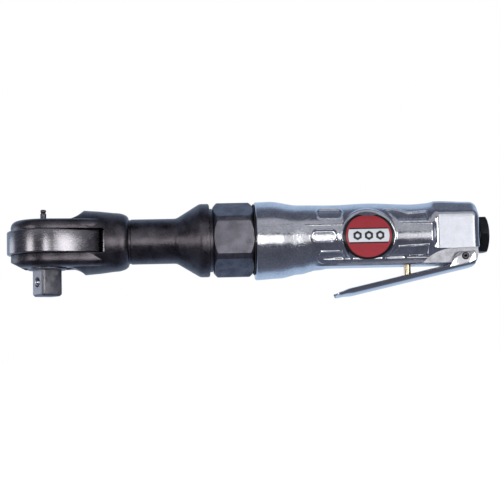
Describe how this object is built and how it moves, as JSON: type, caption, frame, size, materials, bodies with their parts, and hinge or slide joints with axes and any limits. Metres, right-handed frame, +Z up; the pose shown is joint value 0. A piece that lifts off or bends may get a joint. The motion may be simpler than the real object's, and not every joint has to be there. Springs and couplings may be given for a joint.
{
  "type": "air ratchet",
  "caption": "Inline pneumatic ratchet wrench: slim steel head with a square drive, hex coupling nut, cast aluminium vane-motor handle, throttle lever and threaded air inlet.",
  "frame": {"origin": "centre of the drive square's end face", "axes": "+X along the tool from the drive axis to the air inlet, +Z up from the square to the reverse peg"},
  "size_m": [0.2756, 0.0448, 0.057],
  "materials": {
    "black_oxide": "satin black oxide",
    "dark_steel": "dark hardened steel",
    "polished_steel": "ground and polished",
    "bright_steel": "ground",
    "lever_plate": "bright nickel plate",
    "spring_steel": "oiled",
    "gear_steel": "hardened",
    "bearing_steel": "ground",
    "aluminium": "polished casting",
    "bronze": "oiled bronze",
    "brass": "bright turned",
    "cast_iron": "machined",
    "black_plate": "gloss black",
    "phenolic": "laminate",
    "rubber": "matt",
    "badge_print": "domed gloss"
  },
  "bodies": {
    "tool_body": {"ratchet_housing": "black_oxide", "coupling_nut": "black_oxide", "nut_retaining_ring": "spring_steel", "coupling_gasket": "rubber", "anvil_bushing": "bronze", "anvil_retaining_ring": "spring_steel", "thrust_washer": "bronze", "front_crank_bearing": "bearing_steel", "rear_crank_bearing": "bearing_steel", "bearing_spacer": "bright_steel", "ring_gear": "gear_steel", "front_end_plate": "cast_iron", "front_rotor_bearing": "bearing_steel", "motor_cylinder": "cast_iron", "rear_end_plate": "cast_iron", "rear_rotor_bearing": "bearing_steel", "motor_dowel": "bright_steel", "motor_housing": "aluminium", "badge": "badge_print", "valve_bushing": "brass", "stem_o_ring": "rubber", "valve_spring": "spring_steel", "inlet_bushing": "black_plate", "inlet_o_ring": "rubber", "inlet_screen": "spring_steel", "lever_pin": "black_oxide"},
    "yoke": {"ratchet_yoke": "polished_steel"},
    "anvil": {"drive_anvil": "dark_steel", "pawl_pin": "bright_steel", "retaining_ball_spring": "spring_steel"},
    "reverse_control": {"reverse_knob": "black_oxide", "reverse_peg": "black_oxide", "pawl_spring": "spring_steel"},
    "pawl": {"pawl": "bright_steel"},
    "plunger": {"pawl_plunger": "bright_steel"},
    "ball": {"retaining_ball": "bright_steel"},
    "crank": {"crankshaft": "bright_steel", "drive_bushing": "bronze", "planet_pin_1": "bright_steel", "planet_pin_2": "bright_steel", "planet_pin_3": "bright_steel"},
    "planet_1": {"planet_gear_1": "gear_steel"},
    "planet_2": {"planet_gear_2": "gear_steel"},
    "planet_3": {"planet_gear_3": "gear_steel"},
    "rotor": {"motor_rotor": "bright_steel"},
    "lever": {"throttle_lever": "lever_plate"},
    "valve": {"valve_stem": "brass", "valve_seal": "rubber"},
    "vane_1": {"vane_1": "phenolic"},
    "vane_2": {"vane_2": "phenolic"},
    "vane_3": {"vane_3": "phenolic"},
    "vane_4": {"vane_4": "phenolic"},
    "vane_5": {"vane_5": "phenolic"}
  },
  "joints": [
    {"name": "rotor_spin", "type": "hinge", "parent": "tool_body", "child": "rotor", "pos_m": [0.13, 0, 0.0301], "axis": [1, 0, 0], "continuous": true},
    {"name": "crank_spin", "type": "hinge", "parent": "tool_body", "child": "crank", "pos_m": [0.06, 0, 0.0301], "axis": [1, 0, 0], "continuous": true},
    {"name": "planet_1_spin", "type": "hinge", "parent": "crank", "child": "planet_1", "pos_m": [0.095, 0.0072, 0.0301], "axis": [1, 0, 0], "continuous": true},
    {"name": "planet_2_spin", "type": "hinge", "parent": "crank", "child": "planet_2", "pos_m": [0.095, -0.0036, 0.03634], "axis": [1, 0, 0], "continuous": true},
    {"name": "planet_3_spin", "type": "hinge", "parent": "crank", "child": "planet_3", "pos_m": [0.095, -0.0036, 0.02386], "axis": [1, 0, 0], "continuous": true},
    {"name": "yoke_swing", "type": "hinge", "parent": "tool_body", "child": "yoke", "pos_m": [0, 0, 0.0301], "axis": [0, 0, -1], "range_deg": [-3, 3]},
    {"name": "anvil_turn", "type": "hinge", "parent": "tool_body", "child": "anvil", "pos_m": [0, 0, 0.0301], "axis": [0, 0, 1], "continuous": true},
    {"name": "reverse_turn", "type": "hinge", "parent": "anvil", "child": "reverse_control", "pos_m": [0, 0, 0.0301], "axis": [0, 0, 1], "range_deg": [-30, 30]},
    {"name": "pawl_tilt", "type": "hinge", "parent": "anvil", "child": "pawl", "pos_m": [0.0106, 0, 0.0301], "axis": [0, 0, 1], "range_deg": [-5.5, 5.5]},
    {"name": "plunger_slide", "type": "slide", "parent": "reverse_control", "child": "plunger", "axis": [1, 0, 0], "range_m": [-0.0006, 0], "stiffness_N_per_m": 200},
    {"name": "ball_press", "type": "slide", "parent": "anvil", "child": "ball", "axis": [-0.8192, -0.5736, 0], "range_m": [-0.0009, 0], "stiffness_N_per_m": 500},
    {"name": "lever_squeeze", "type": "hinge", "parent": "tool_body", "child": "lever", "pos_m": [0.238, 0, 0.0174], "axis": [0, 1, 0], "range_deg": [0, 10.5], "stiffness_Nm_per_rad": 1.5, "springref_deg": -28.65},
    {"name": "valve_lift", "type": "slide", "parent": "tool_body", "child": "valve", "axis": [0, 0, 1], "range_m": [0, 0.0061], "deforming": ["valve_spring"]},
    {"name": "vane_1_slide", "type": "slide", "parent": "rotor", "child": "vane_1", "axis": [0, 1, 0], "range_m": [0, 0.0016]},
    {"name": "vane_2_slide", "type": "slide", "parent": "rotor", "child": "vane_2", "axis": [0, 0.309, 0.9511], "range_m": [0, 0.0004]},
    {"name": "vane_3_slide", "type": "slide", "parent": "rotor", "child": "vane_3", "axis": [0, -0.809, 0.5878], "range_m": [0, 0.00085]},
    {"name": "vane_4_slide", "type": "slide", "parent": "rotor", "child": "vane_4", "axis": [0, -0.809, -0.5878], "range_m": [0, 0.00085]},
    {"name": "vane_5_slide", "type": "slide", "parent": "rotor", "child": "vane_5", "axis": [0, 0.309, -0.9511], "range_m": [0, 0.0004]}
  ],
  "couplings": [
    {"joint": "crank_spin", "follows": "rotor_spin", "ratio": 0.25},
    {"joint": "planet_1_spin", "follows": "rotor_spin", "ratio": -0.75},
    {"joint": "planet_2_spin", "follows": "rotor_spin", "ratio": -0.75},
    {"joint": "planet_3_spin", "follows": "rotor_spin", "ratio": -0.75},
    {"joint": "pawl_tilt", "follows": "reverse_turn", "ratio": -0.16667},
    {"joint": "valve_lift", "follows": "lever_squeeze", "m_per_rad": 0.0327}
  ]
}
